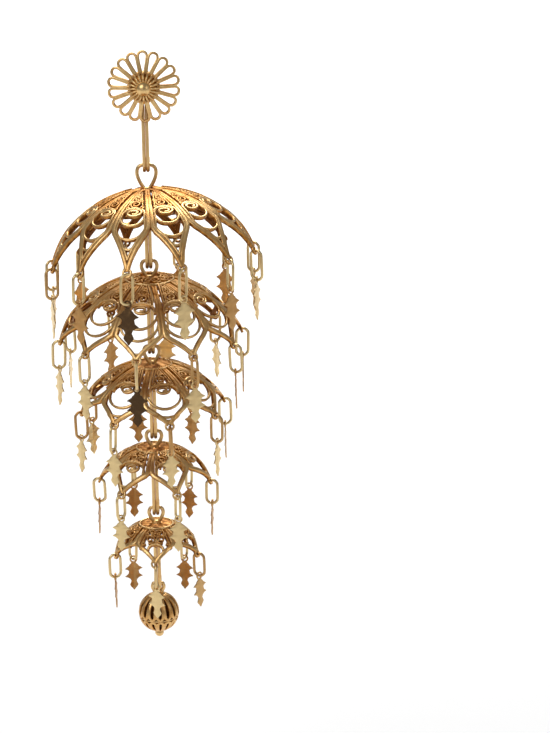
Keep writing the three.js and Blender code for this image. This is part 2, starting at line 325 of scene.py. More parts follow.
def made_by(tree, source, values):
    """Runs a tree on an object, with values for its named inputs, and keeps the result as a plain mesh."""
    modifier = source.modifiers.new("maker", "NODES")
    modifier.node_group = tree.data
    inputs = [item for item in tree.data.interface.items_tree if item.in_out == "INPUT"]
    sockets = {item.name: item.identifier for item in inputs}
    for name, value in values.items():
        modifier[sockets[name]] = value
    depsgraph = bpy.context.evaluated_depsgraph_get()
    mesh = bpy.data.meshes.new_from_object(source.evaluated_get(depsgraph))
    name = source.name
    source.modifiers.remove(modifier)
    bpy.data.objects.remove(source)
    return placed(name, mesh)


def joined(parts):
    """Joins parts into the first one."""
    if len(parts) > 1:
        with bpy.context.temp_override(active_object=parts[0], object=parts[0],
                                       selected_editable_objects=parts, selected_objects=parts):
            bpy.ops.object.join()
    return parts[0]


def finished(name, parts, body, replaces=()):
    """Joins parts into one piece that rides on a body and stands for some solids."""
    piece = joined(parts)
    piece.name = name
    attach(piece, body)
    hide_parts(*replaces)
    heights = [v.co.z / MM for v in piece.data.vertices]
    print(f"{name}: {sum(len(p.vertices) - 2 for p in piece.data.polygons)} triangles,",
          f"z {min(heights):.1f} to {max(heights):.1f} mm")


print("drawings and trees are ready")

# %% [markdown]
# ## The wire-makers
# All wire is one section drawn along a line. The two makers of wire share their last steps: the section
# is swept along the line, and the wire is repeated round an axis, tilted, put in place and given its
# finish. A slight wander leaves it hand-bent.

# %% The steps that both trees share
SECTION = {"Width": "Float", "Depth": "Float", "Corner": "Float", "Corner steps": "Int"}
REPEAT = {"Count": "Int", "First": "Float", "Axis": "Vector", "Tilt": "Vector", "Place": "Vector"}
FINISH = {"Wander": "Float", "Seed": "Float", "Material": "Material"}
WANDER_SIZE = 2.6
WELD = 0.001 * MM  # where a round section's corners meet, points closer than this become one


def metal(tree, given, curve):
    """Draws the wire's section along the curve."""
    section = tree.add("GeometryNodeCurvePrimitiveQuadrilateral", {"mode": "RECTANGLE"}, {
        "Width": given.output("Depth"), "Height": given.output("Width")})
    section = tree.add("GeometryNodeFilletCurve", {"mode": "POLY"}, {
        "Curve": section, "Radius": given.output("Corner"), "Count": given.output("Corner steps"),
        "Limit Radius": True})
    swell = tree.add("GeometryNodeInputNamedAttribute", {"data_type": "FLOAT"}, {"Name": "swell"})
    mesh = tree.add("GeometryNodeCurveToMesh", {}, {
        "Curve": curve, "Profile Curve": section, "Scale": swell, "Fill Caps": True})
    return tree.add("GeometryNodeMergeByDistance", {}, {"Geometry": mesh, "Distance": WELD})


def repeated(tree, given, mesh):
    """Repeats a mesh round an axis, tilts it, puts it in place, lets it wander and gives it its finish."""
    turn = given.output("First") + tree.add("GeometryNodeInputIndex") * 2 * math.pi / given.output("Count")
    spin = tree.add("FunctionNodeAxisAngleToRotation", {}, {"Axis": given.output("Axis"), "Angle": turn})
    points = tree.add("GeometryNodePoints", {}, {"Count": given.output("Count")})
    ring = tree.add("GeometryNodeInstanceOnPoints", {}, {
        "Points": points, "Instance": mesh, "Rotation": spin})
    whole = tree.add("GeometryNodeRealizeInstances", {}, {"Geometry": ring})
    tilt = tree.add("FunctionNodeEulerToRotation", {}, {"Euler": given.output("Tilt")})
    whole = tree.add("GeometryNodeTransform", {}, {
        "Geometry": whole, "Rotation": tilt, "Translation": given.output("Place")})
    drift = tree.add("ShaderNodeTexNoise", {"noise_dimensions": "4D"}, {
        "Vector": tree.add("GeometryNodeInputPosition"), "W": given.output("Seed"),
        "Scale": 1 / (WANDER_SIZE * MM), "Detail": 1.0}).output("Color")
    drift = tree.vector("SUBTRACT", drift, (0.5, 0.5, 0.5))
    drift = tree.vector("SCALE", drift, Scale=given.output("Wander"))
    whole = tree.add("GeometryNodeSetPosition", {}, {"Geometry": whole, "Offset": drift})
    whole = tree.add("GeometryNodeSetShadeSmooth", {}, {"Geometry": whole, "Shade Smooth": True})
    whole = tree.add("GeometryNodeSetMaterial", {}, {
        "Geometry": whole, "Material": given.output("Material")})
    tree.add("NodeGroupOutput", {}, {"Geometry": whole})


print("both trees take", [*SECTION, *REPEAT, *FINISH])

# %% [markdown]
# `bent_wire` follows a line in space. `domed_wire` takes a flat drawing of one petal, with x across and
# y down from the top, curves it over a sphere as a maker presses flat filigree into a round hollow,
# keeps the ribbon standing on edge, and repeats the petal round the dome. It stores `recess`
# by the depth below the ribbon's outer edge, plus a `bloom` that the whole wire shares. Both
# paint the gilt darker: partly tarnish, partly painted shade deep between the wires.

# %% Build the two trees
# How strongly depth paints the ribbon darker: painted shade, with tarnish.
DEPTH_SHADE = 0.85


def build_bent_wire():
    tree, given = geometry_tree("bent_wire", {**SECTION, "Smoothness": "Int", **REPEAT, **FINISH})
    curve = tree.add("GeometryNodeMeshToCurve", {}, {"Mesh": given.output("Geometry")})
    curve = tree.add("GeometryNodeCurveSplineType", {"spline_type": "CATMULL_ROM"}, {"Curve": curve})
    curve = tree.add("GeometryNodeSetSplineResolution", {}, {
        "Geometry": curve, "Resolution": given.output("Smoothness")})
    repeated(tree, given, metal(tree, given, curve))
    return tree


def build_domed_wire():
    tree, given = geometry_tree("domed_wire", {
        **SECTION, "Sphere": "Float", "Bloom": "Float", **REPEAT, **FINISH})
    sphere = given.output("Sphere")
    curve = tree.add("GeometryNodeMeshToCurve", {}, {"Mesh": given.output("Geometry")})
    across = tree.add("ShaderNodeSeparateXYZ", {}, {0: tree.add("GeometryNodeInputPosition")})
    angle = across.output("Y") / sphere
    out = sphere * angle.math("SINE", angle)
    turn = across / out
    domed = tree.add("ShaderNodeCombineXYZ", {}, {
        "X": out * turn.math("COSINE", turn), "Y": out * turn.math("SINE", turn),
        "Z": sphere * angle.math("COSINE", angle) - sphere})
    curve = tree.add("GeometryNodeSetPosition", {}, {"Geometry": curve, "Position": domed})
    to_centre = tree.add("ShaderNodeCombineXYZ", {}, {"Z": sphere})
    outward = tree.vector("ADD", tree.add("GeometryNodeInputPosition"), to_centre)
    curve = tree.add("GeometryNodeSetCurveNormal", {"mode": "FREE"}, {
        "Curve": curve, "Normal": tree.vector("NORMALIZE", outward)})
    # The deeper below the outer edge, the darker the gilt: painted shade, with tarnish.
    below = 0.5 - (tree.vector("LENGTH", outward) - sphere) / given.output("Depth")
    mesh = tree.add("GeometryNodeStoreNamedAttribute", {"data_type": "FLOAT", "domain": "POINT"}, {
        "Geometry": metal(tree, given, curve), "Name": "recess",
        "Value": below * DEPTH_SHADE + given.output("Bloom")})
    repeated(tree, given, mesh)
    return tree


bent_wire_tree, domed_wire_tree = build_bent_wire(), build_domed_wire()
print("trees:", bent_wire_tree.data.name, domed_wire_tree.data.name)

# %% [markdown]
# Two functions give the trees their sizes in mm. Rings, hooks, links and rims are round wire. The domes
# are ribbon, wire rolled flat and set on edge, so it looks fine from the front and is still stiff.

# %% Wire and ribbon, in mm
RIBBON_CORNER = 0.12


def wire(name, paths, thick, smoothness=4, count=1, axis=(0, 0, 1), wander=0.0, material=gilt_wire):
    """Round wire along paths in space, repeated round an axis through the origin."""
    return made_by(bent_wire_tree, drawing(name, paths), {
        "Width": thick * MM, "Depth": thick * MM, "Corner": thick / 2 * MM, "Corner steps": 2,
        "Smoothness": smoothness, "Count": count, "First": 0.0, "Axis": axis, "Tilt": (0.0, 0.0, 0.0),
        "Place": (0.0, 0.0, 0.0), "Wander": wander * MM, "Seed": 1.0, "Material": material})


def domed_wire(name, paths, width, depth, sphere, count, first, tilt=(0.0, 0.0, 0.0), place=(0, 0, 0),
               wander=0.2, bloom=0.0, seed=1.0):
    """Ribbon wire on edge, from a flat drawing of one petal pressed over a sphere."""
    return made_by(domed_wire_tree, drawing(name, paths), {
        "Width": width * MM, "Depth": depth * MM, "Corner": RIBBON_CORNER * min(width, depth) * MM,
        "Corner steps": 1, "Sphere": sphere * MM, "Bloom": bloom, "Count": count, "First": first,
        "Axis": (0.0, 0.0, 1.0), "Tilt": tuple(tilt), "Place": tuple(v * MM for v in place),
        "Wander": wander * MM, "Seed": seed, "Material": gilt_wire})


print("ribbon corners are rounded by", RIBBON_CORNER, "of its thinner side")

# %% [markdown]
# ## Turned parts
# Crowns, bosses, balls and the ear pin are round about one axis. Each is an outline of radius and
# height turned about that axis, closed with a single point at either end.

# %% A turned shape


def turned(name, profile, sides, matrix=Matrix.Identity(4), material=gilt_wire):
    """A closed round body from [radius, height] pairs in mm that start and end on the axis."""
    inner = profile[1:-1]
    angles = [2 * math.pi * i / sides for i in range(sides)]
    places = [(r * math.cos(a), r * math.sin(a), h) for r, h in inner for a in angles]
    places += [(0, 0, profile[0][1]), (0, 0, profile[-1][1])]
    bottom, top, last = len(places) - 2, len(places) - 1, (len(inner) - 1) * sides
    beside = [(i, (i + 1) % sides) for i in range(sides)]
    faces = [(bottom, b, a) for a, b in beside]
    faces += [(k * sides + a, k * sides + b, (k + 1) * sides + b, (k + 1) * sides + a)
              for k in range(len(inner) - 1) for a, b in beside]
    faces += [(last + a, last + b, top) for a, b in beside]
    made = shape(name, [matrix @ Vector(place) for place in places], faces=faces)
    made.data.polygons.foreach_set("use_smooth", [True] * len(faces))
    made.data.materials.append(material)
    return made


def ball_profile(radius, middle, steps=10):
    """The outline of a ball."""
    return [(radius * math.sin(a), middle - radius * math.cos(a))
            for a in np.linspace(0, math.pi, steps + 1)]


print("a turned ball has", len(ball_profile(1, 0)), "points in its outline")

# %% [markdown]
# ## One petal's drawing
# Every dome is the same idea at five sizes, so one table holds all that differs between them, and the
# same functions draw each one.

# %% The five tiers
# radius, height: of the dome. petals, first: how many, and the turn of the first one. ring: width and
# height of the ring. link: length and width. leaf: its length. crown: radius of the crown. parting,
# arch, bows: where two petals part, where the arch springs and where each bow hangs, as parts of a
# petal's length. bow_depth: of the bows' ribbon. coil: its size against the opening. strands: how many
# beside each strip. bloom: how much darker the whole dome is painted, partly brown tarnish and
# partly painted shade. link_twist, leaf_twist: how far links and leaves may turn either way. seed: of
# those turns. back, side: how far the dome sits askew. lined: whether the arch lines the whole petal.
# Lengths in mm, angles in degrees.
Tier = namedtuple(
    "Tier", "name radius height petals first ring link leaf crown parting arch bows bow_depth coil strands "
    "bloom link_twist leaf_twist seed back side lined", defaults=(0, 0, False))
TIERS = [
    # The first dome is painted a little darker overall: painted shade against the lamps' bright sheen on
    # its top.
    Tier("tier_1", radius=18.8, height=12.2, petals=12, first=18, ring=(4.1, 4.5), link=(6.1, 2.75),
         leaf=7.5, crown=1.5, parting=0.65, arch=0.49, bows=(0.53, 0.64, 0.78), bow_depth=0.8, coil=0.9,
         strands=1, bloom=0.1, link_twist=55, leaf_twist=10, seed=175, back=6, side=4, lined=True),
    Tier("tier_2", radius=16.7, height=10.9, petals=10, first=-7, ring=(3.5, 3.15), link=(5.8, 2.75),
         leaf=7, crown=4.4, parting=0.8, arch=0.57, bows=(0.6, 0.69, 0.87), bow_depth=0.5, coil=0.7,
         strands=2, bloom=0.07, link_twist=12, leaf_twist=24, seed=166),
    Tier("tier_3", radius=13.3, height=8.2, petals=8, first=15, ring=(3.5, 3.2), link=(5.6, 2.7),
         leaf=6.6, crown=3.6, parting=0.78, arch=0.63, bows=(0.64, 0.72, 0.84), bow_depth=0.5, coil=0.6,
         strands=2, bloom=0.07, link_twist=12, leaf_twist=24, seed=18),
    Tier("tier_4", radius=10.25, height=6.5, petals=6, first=25, ring=(3.5, 3.0), link=(5.1, 2.6),
         leaf=6.3, crown=3.3, parting=0.66, arch=0.67, bows=(0.76,), bow_depth=0.5, coil=0.6,
         strands=1, bloom=0.07, link_twist=8, leaf_twist=24, seed=100),
    Tier("tier_5", radius=7.9, height=5.4, petals=5, first=0, ring=(3.3, 2.9), link=(5.0, 2.6),
         leaf=6.2, crown=3.1, parting=0.66, arch=0.76, bows=(0.83,), bow_depth=0.5, coil=0.0,
         strands=1, bloom=0.07, link_twist=8, leaf_twist=24, seed=24),
]
print(len(TIERS), "tiers with", [tier.petals for tier in TIERS], "petals")

# %% [markdown]
# Strips run down from the crown, two petals' strips side by side, part above the rim and meet again at
# each petal's point. Working in mm of real surface keeps the scrolls between them round on every dome.

# %% Where a petal's wires run
STRIP_WIDTH = 0.86
STRIP_DEPTH = 0.8
LINING_GAP = 0.2
STRAND_GAP = 0.42
ARM_BEND = 1.45


class Petal:
    """Where one petal's wires run. Distances in mm: across from its middle, down from the top."""

    def __init__(self, tier):
        self.tier = tier
        self.sphere = (tier.radius ** 2 + tier.height ** 2) / (2 * tier.height)
        self.reach = self.sphere * math.asin(tier.radius / self.sphere)
        self.parting = tier.parting * self.reach
        self.spring = tier.arch * self.reach
        self.top = self.spring - 0.85 * self.lining(self.spring)
        downs = np.linspace(self.parting, self.reach, 200)
        self.point = max(d for d in downs if self.lining(d) > 0.05)

    def room(self, down):
        """Half the width that the dome gives this petal."""
        return math.pi / self.tier.petals * self.sphere * math.sin(down / self.sphere)

    def swell(self, down):
        """How wide the strip is: widest where two petals part."""
        if down < self.parting:
            return 0.5 + 0.5 * (down / self.parting) ** 1.5
        return 1 - 0.2 * (down - self.parting) / (self.reach - self.parting)

    def inside(self, down, strands):
        """Half the width left between the two strips and a number of strands."""
        return self.room(down) - STRIP_WIDTH * self.swell(down) - STRAND_GAP * strands

    def strip(self, down):
        """The middle of the strip. Below the parting it curves in to the petal's point."""
        if down < self.parting:
            return self.room(down) - 0.46 * STRIP_WIDTH * self.swell(down)
        left = 1 - (down - self.parting) / (self.reach - self.parting)
        return (self.room(self.parting) - STRIP_WIDTH / 2) * left ** ARM_BEND

    def lining(self, down):
        """The ribbon just inside the strip."""
        return self.strip(down) - STRIP_WIDTH * self.swell(down) / 2 - LINING_GAP


petals = {tier.name: Petal(tier) for tier in TIERS}
for name, petal in petals.items():
    print(name, f"petal {petal.reach:.1f} mm long, {2 * petal.room(petal.parting):.1f} mm wide")

# %% [markdown]
# A filigree maker fills a frame with a few bends made in round-nosed pliers: scrolls, rings and bows.

# %% Lines to draw with
SMALL_RING = 0.3


def circle(radius, count):
    """Points round a circle."""
    angles = np.linspace(0, 2 * math.pi, count + 1)[:-1]
    return [(radius * math.cos(a), radius * math.sin(a)) for a in angles]


def mirrored(points):
    return [(-x, y, 0) for x, y, _ in points]


def spiral(across, down, outer, turns, start, inner=0.25, squash=1.0):
    """A scroll that winds in from its outer radius to a part of it."""
    points = []
    for part in np.linspace(0, 1, int(12 * turns) + 4):
        angle, radius = start + turns * 2 * math.pi * part, outer * (1 - (1 - inner) * part)
        points.append((across + radius * math.cos(angle), down + squash * radius * math.sin(angle), 0))
    return points


def small_ring(across, down):
    """A ring of ribbon that fills a gap between scrolls."""
    return path([(across + x, down + y, 0) for x, y in circle(SMALL_RING, 8)], closed=True)


def bow(half, down, sag):
    """A wire that hangs between the two sides of a petal."""
    return path([(half * math.cos(a), down + sag * math.sin(a), 0) for a in np.linspace(0, math.pi, 13)])


print("a scroll of one turn has", len(spiral(0, 0, 1, 1, 0)), "points")

# %% [markdown]
# A ribbon arches over the opening between the strips, and in the largest dome it lines the whole petal.
# Under the arch hang bows of wire, and in all but the smallest dome a flat coil. Above it one or two
# strands of ribbon sweep down beside each strip, and scrolls fill the rest of the petal to the crown, in
# mirrored pairs where there is room and single ones above, with small rings in the gaps.

# %% The strips, arch, strands, scrolls and bows of a petal
PAIR_ROOM = 1.6
SMALLEST_SCROLL = 0.3
SCROLL_TURNS = 1.45  # turns of a scroll for each mm of its radius


def strips(petal):
    """The two flat strips at the sides of a petal."""
    downs = np.linspace(petal.tier.crown * 0.8, petal.reach - 0.3, 22)
    side = [(petal.strip(d), d, 0) for d in downs]
    swell = [petal.swell(d) for d in downs]
    return [path(side, swell=swell), path(mirrored(side), swell=swell)]


def arch(petal):
    """The ribbon that arches over a petal's opening. In the largest dome it lines the whole petal."""
    width, rise = petal.lining(petal.spring), petal.spring - petal.top
    over = [(-width * math.cos(a), petal.spring - rise * math.sin(a), 0)
            for a in np.linspace(0, math.pi, 13)]
    if petal.tier.lined:
        downs = np.linspace(petal.spring, petal.point, 11)[1:]
        right = [(petal.lining(d), d, 0) for d in downs]
        return path([*over, *right, (0, petal.point + 0.3, 0), *mirrored(right)[::-1]], closed=True)
    return path(over)


def strands(petal):
    """Long ribbons that sweep beside the strips from the crown down to the shoulders of the arch."""
    lines, width, rise = [], petal.lining(petal.spring), petal.spring - petal.top
    for number in range(1, petal.tier.strands + 1):
        downs = np.linspace(petal.tier.crown * 0.9, petal.spring, 24)
        side = [(petal.inside(d, number), d, 0) for d in downs]
        side = [p for p in side
                if p[0] > 0.1 and math.hypot(p[0] / width, (p[1] - petal.spring) / rise) > 0.95]
        lines += [path(side), path(mirrored(side))]
    return lines


def scrolls(petal):
    """Rows of scrolls from the arch up to the crown: mirrored pairs where there is room, then single."""
    lines, down, hand, count = [], petal.top - 0.1, 1, petal.tier.strands
    while True:
        room = petal.inside(down, count)
        paired = room > PAIR_ROOM
        # A row narrows upwards, so a scroll is sized by the room at its middle.
        if paired:
            radius = 0.47 * petal.inside(down - 0.4 * room, count)
        else:
            radius = 0.92 * petal.inside(down - 0.75 * room, count)
        if radius < SMALLEST_SCROLL or down - 1.4 * radius < petal.tier.crown:
            return lines
        middle = 1.02 * radius if paired else 0
        scroll = spiral(middle, down - radius, radius, turns=max(1.3, radius * SCROLL_TURNS), start=1.2)
        if paired:
            lines += [path(scroll), path(mirrored(scroll)), small_ring(0, down + 0.1 * radius)]
        else:
            lines.append(path([(hand * x, y, z) for x, y, z in scroll]))
        if room > 0.9:
            lines += [small_ring(side * (room - 0.1), down + 0.1 * radius) for side in (-1, 1)]
        down -= 1.96 * radius
        hand = -hand


def bows(petal):
    """The bows that hang in a petal's opening, and the flat coil under its arch."""
    lines = []
    for part in petal.tier.bows:
        down = part * petal.reach
        half = petal.lining(down) if petal.tier.lined else petal.strip(down) - 0.3
        lines.append(bow(half, down, min(0.85 * half, petal.point - down)))
    half = petal.lining(petal.spring) * petal.tier.coil
    if half:
        lines.append(path(spiral(0, petal.top + 0.65 * half + 0.1, half, turns=1.8, start=math.pi,
                                 inner=0.3, squash=0.65)))
    return lines


for name, petal in petals.items():
    print(name, "petal has", len(scrolls(petal)), "scrolls and rings,", len(bows(petal)), "bows and coils")

# %% [markdown]
# ## Five domes
# A dome hangs by the flat-topped ring on its crown, which sits in the bend of the hook above it, and a
# hook of its own carries the next tier. Each hook is two wires side by side. The crown is a nearly flat
# disc of sheet.

# %% Rings, hooks and crowns
HOOK_GAP = 0.66
HOOK_WIRE = 0.64
HOOK_RADIUS = 0.9
HOOK_SHOULDER = 1.2
HOOK_TAIL = 1.2
RING_WIRE = 0.68
RING_FLAT = 0.72
CROWN_SHEET = 0.3
CROWN_DROOP = 0.25


def ring_path(width, height, base):
    """The flat-topped ring, which stands in the XZ plane on base."""
    side = (width - RING_WIRE) / 2
    half = [(0.25, -0.25), (side * 0.72, height * 0.3), (side, height * 0.62), (side * 0.9, height * 0.88),
            (RING_FLAT, height)]
    right = [(x, 0, base + z) for x, z in half]
    return path([(-x, y, z) for x, y, z in right] + right[::-1])


def hook_paths(top, pivot, start):
    """Two wires side by side: from start out to the front, straight down, and up behind the next ring."""
    bend = [(HOOK_RADIUS * math.cos(a), pivot + HOOK_RADIUS * math.sin(a))
            for a in np.linspace(math.pi, 2 * math.pi, 9)]
    side = [*start, (-HOOK_RADIUS, top - HOOK_SHOULDER), *bend, (HOOK_RADIUS, pivot + HOOK_TAIL)]
    return [path([(x, y, z) for y, z in side]) for x in (-HOOK_GAP / 2, HOOK_GAP / 2)]


def crown_profile(tier):
    """A nearly flat disc of sheet with a collar under the ring."""
    top = [(r, -CROWN_DROOP * (r / tier.crown) ** 2) for r in np.linspace(tier.crown, 0.9, 6)]
    under = [(r, z - CROWN_SHEET) for r, z in top[::-1]]
    collar = [(0.62, 0.08), (0.55, 0.3), (0.3, 0.42)]
    return [(0, -CROWN_SHEET), *under, *top, *collar, (0, 0.42)]


print("a hook's wires are", HOOK_WIRE, "mm thick")

# %% [markdown]
# Each dome takes its strips and its ribbons from the drawing, and a small round eye closes each petal's
# point. The crown closes the top. It has a wire rim on every dome but the first, and a circle of scrolls
# on the second.

# %% Build the domes
RIBBON_WIDTH = 0.26
RIBBON_DEPTH = 0.85
ARCH_WIDTH = 0.38
BOW_WIDTH = 0.42
EYE_RADIUS = 0.75
CROWN_SCROLLS = 11
# The scrolls are painted darker than the strips: painted shade where the wires crowd.
SCROLL_SHADE = 0.12


def stance(tier):
    """The height of a dome's top in mm, and the turn that sets it askew."""
    back = Matrix.Rotation(math.radians(-tier.back), 3, "X")
    side = Matrix.Rotation(math.radians(-tier.side), 3, "Y")
    return pivots[tier.name] - tier.ring[1], back @ side


def build_wires(tier, pressed):
    """The strips and the finer ribbons of a dome. pressed: what its ribbons share."""
    petal = petals[tier.name]
    eye = path([(x, petal.reach + y, 0) for x, y in circle(EYE_RADIUS, 12)], closed=True)
    parts = [domed_wire("strips", strips(petal), STRIP_WIDTH, STRIP_DEPTH, bloom=tier.bloom, **pressed),
             domed_wire("eyes", [eye], width=0.34, depth=0.45, bloom=tier.bloom, **pressed)]
    finished(f"{tier.name}_strips", parts, tier.name, [f"{tier.name}_dome"])
    parts = [domed_wire("arches", [arch(petal)], ARCH_WIDTH, RIBBON_DEPTH, bloom=tier.bloom, **pressed),
             domed_wire("scrolls", [*strands(petal), *scrolls(petal)], RIBBON_WIDTH, RIBBON_DEPTH,
                        wander=0.1, bloom=tier.bloom + SCROLL_SHADE, **pressed),
             domed_wire("bows", bows(petal), BOW_WIDTH, tier.bow_depth, bloom=tier.bloom, **pressed)]
    finished(f"{tier.name}_scrolls", parts, tier.name)


def build_crown(tier, pressed, next_pivot):
    """A dome's crown, its ring and its hook."""
    apex, lean = stance(tier)
    crown = turned("crown", crown_profile(tier), 48, Matrix.Translation((0, 0, apex)) @ lean.to_4x4())
    # The sheet is dull and painted darker, partly tarnish and partly painted shade under its wires, and
    # pale only on the collar in its middle.
    mark(crown, "recess", [0.55 if v.co.xy.length > 1.2 * MM else 0.1 for v in crown.data.vertices])
    parts = [crown]
    if tier.crown > 2:
        rim = [lean @ Vector((x, y, -CROWN_DROOP)) + Vector((0, 0, apex))
               for x, y in circle(tier.crown, 40)]
        parts.append(wire("rim", [path(rim, closed=True)], thick=0.4, smoothness=1, wander=0.1))
    if tier.crown > 4:
        scroll = path(spiral(0, 0.62 * tier.crown, outer=0.26 * tier.crown, turns=1.5, start=1.0))
        parts.append(domed_wire("crown_scrolls", [scroll], width=0.22, depth=1.0,
                                bloom=tier.bloom + SCROLL_SHADE, **{**pressed, "count": CROWN_SCROLLS}))
    parts.append(wire("ring", [ring_path(*tier.ring, apex)], RING_WIRE, wander=0.05))
    start = [(0, apex - 0.2), (-0.6, apex - 0.35)]
    parts.append(wire("hook", hook_paths(apex, next_pivot, start), HOOK_WIRE, smoothness=3, wander=0.05))
    finished(f"{tier.name}_crown", parts, tier.name)


next_pivots = [pivots[tier.name] for tier in TIERS[1:]] + [pivots["ball"]]
for tier, next_pivot in zip(TIERS, next_pivots):
    apex, lean = stance(tier)
    pressed = {"sphere": petals[tier.name].sphere, "count": tier.petals,
               "first": math.radians(tier.first - 90), "tilt": lean.to_euler(), "place": (0, 0, apex),
               "seed": apex}
    build_wires(tier, pressed)
    build_crown(tier, pressed, next_pivot)

# %% [markdown]
# ## Leaves and links
# Every petal point carries an oval link of drawn wire with a stamped leaf on it. A leaf is thin sheet
# with barbed lobes and a raised midrib. One link and one leaf are made here as models for each tier.

# %% The model link and the model leaf
LINK_WIRE = 0.54
LEAF_SHEET = 0.16
LEAF_RIDGE = 0.09
LEAF_EYE = 0.62
LEAF_EDGE = [  # across and down, in leaf lengths
    (0.07, 0.1), (0.08, 0.14), (0.13, 0.18), (0.15, 0.22), (0.275, 0.31), (0.2, 0.335), (0.15, 0.38),
    (0.16, 0.43), (0.17, 0.48), (0.275, 0.56), (0.18, 0.59), (0.11, 0.64), (0.08, 0.71), (0.1, 0.76),
    (0.13, 0.83), (0.1, 0.89), (0.05, 0.94), (0.01, 1.0)]


def link_path(length, width):
    """An upright oval in the XZ plane, the middle of its top wire at the origin."""
    half, straight = (width - LINK_WIRE) / 2, (length - width) / 2
    end = [(half * math.cos(a), half * math.sin(a) + straight) for a in np.linspace(0, math.pi, 7)]
    upper = [(x, 0, z - straight - half) for x, z in end]
    lower = [(-x, 0, -z - straight - half) for x, z in end]
    return path(upper + lower, closed=True)


def leaf_blade(length):
    """The leaf's sheet in the YZ plane, its eye at the origin: three points to a row, front then back."""
    places = []
    for face in (1, -1):
        middle = LEAF_SHEET / 2 * face
        for across, down in LEAF_EDGE:
            places += [(middle, -across * length, -down * length),
                       (middle + LEAF_RIDGE, 0, -down * length),
                       (middle, across * length, -down * length)]
    rows = len(LEAF_EDGE)

    def at(face, row, column):
        return (face * rows + row) * 3 + column

    faces = []
    for row in range(rows - 1):
        for column in (0, 1):
            front, back = [(at(face, row, column), at(face, row, column + 1), at(face, row + 1, column + 1),
                            at(face, row + 1, column)) for face in (0, 1)]
            faces += [front[::-1], back]
        left, right = [(at(0, row, column), at(0, row + 1, column), at(1, row + 1, column),
                        at(1, row, column)) for column in (0, 2)]
        faces += [left[::-1], right]
    top, bottom = [[at(0, row, 0), at(0, row, 1), at(0, row, 2), at(1, row, 2), at(1, row, 1),
                    at(1, row, 0)] for row in (0, rows - 1)]
    faces += [top[::-1], bottom]
    made = shape("blade", places, faces=faces)
    made.data.materials.append(gilt_leaf)
    return made


print("a leaf has", 6 * len(LEAF_EDGE), "points")

# %% [markdown]
# The tree puts a copy of the model at each point that it is given, turns each a little differently, and
# gives each its own tone, because some are worn bright and a few are nearly black.

# %% The tree that hangs them


def build_hung():
    tree, given = geometry_tree("hung_pieces", {
        "Piece": "Object", "Twist": "Float", "Sway": "Float", "Tone": "Float", "Seed": "Int",
        "Material": "Material"})
    piece = tree.add("GeometryNodeObjectInfo", {}, {"Object": given.output("Piece")}).output("Geometry")
    turn = tree.add("GeometryNodeInputNamedAttribute", {"data_type": "FLOAT"}, {"Name": "turn"})

    def chance(low, high, shift):
        return tree.add("FunctionNodeRandomValue", {"data_type": "FLOAT"}, {
            "Min": low, "Max": high, "Seed": given.output("Seed") + shift})

    lean = tree.add("ShaderNodeCombineXYZ", {}, {
        "X": chance(-1.0, 1.0, 1) * given.output("Sway"), "Y": chance(-1.0, 1.0, 2) * given.output("Sway"),
        "Z": turn + chance(-1.0, 1.0, 3) * given.output("Twist")})
    turned_by = tree.add("FunctionNodeEulerToRotation", {}, {"Euler": lean})
    hung = tree.add("GeometryNodeInstanceOnPoints", {}, {
        "Points": given.output("Geometry"), "Instance": piece, "Rotation": turned_by})
    hung = tree.add("GeometryNodeStoreNamedAttribute", {"data_type": "FLOAT", "domain": "INSTANCE"}, {
        "Geometry": hung, "Name": "tone", "Value": chance(0.0, 1.0, 0) * given.output("Tone")})
    hung = tree.add("GeometryNodeRealizeInstances", {}, {"Geometry": hung})
    hung = tree.add("GeometryNodeSetMaterial", {}, {"Geometry": hung, "Material": given.output("Material")})
    tree.add("NodeGroupOutput", {}, {"Geometry": hung})
    return tree


hung_tree = build_hung()


def hung(name, piece, places, turns, twist, sway, tone, seed):
    """A copy of the piece at each place, turned to face out. twist and sway in degrees."""
    points = drawing(name, [path([place]) for place in places])
    mark(points, "turn", turns)
    made = made_by(hung_tree, points, {
        "Piece": piece, "Twist": math.radians(twist), "Sway": math.radians(sway), "Tone": tone,
        "Seed": seed, "Material": gilt_leaf})
    bpy.data.objects.remove(piece)
    return made


print("tree:", hung_tree.data.name)

# %% [markdown]
# The points are the petals' points, which follow from the dome's size and lean. A leaf hangs one link
# lower, in the bottom of its link.

# %% Hang the pendants
LINK_OUT = 0.36
LINK_SEED = 422  # keeps the links' turns apart from the leaves'


def build_pendants(tier):
    """The links and leaves round one dome."""
    apex, lean = stance(tier)
    turns = [math.radians(tier.first - 90) + 2 * math.pi * i / tier.petals for i in range(tier.petals)]
    tops = [lean @ Vector((tier.radius * math.cos(t), tier.radius * math.sin(t), -tier.height))
            + Vector((LINK_OUT * math.cos(t), LINK_OUT * math.sin(t), apex)) for t in turns]
    drop = Vector((0, 0, tier.link[0] - LINK_WIRE))
    link = wire("link", [link_path(*tier.link)], LINK_WIRE, smoothness=2, material=gilt_leaf)
    eye = wire("eye", [path([(0, y, z) for y, z in circle(LEAF_EYE, 8)], closed=True)], thick=0.34,
               smoothness=2, material=gilt_leaf)
    leaf = joined([leaf_blade(tier.leaf), eye])
    links = hung("links", link, tops, turns, tier.link_twist, sway=2, tone=0.6, seed=tier.seed + LINK_SEED)
    leaves = hung("leaves", leaf, [top - drop for top in tops], turns, tier.leaf_twist, sway=1.5, tone=1.0,
                  seed=tier.seed)
    nodes = [f"{tier.name}_pendant_{i + 1:02d}" for i in range(tier.petals)]
    finished(f"{tier.name}_pendants", [links, leaves], tier.name, nodes)


for tier in TIERS:
    build_pendants(tier)

# %% [markdown]
# ## Rosette, hanger and ear pin
# The rosette is eighteen teardrop loops of ribbon wire on a slight dome, round a raised inner flower of
# fine wires with a ball in its middle.

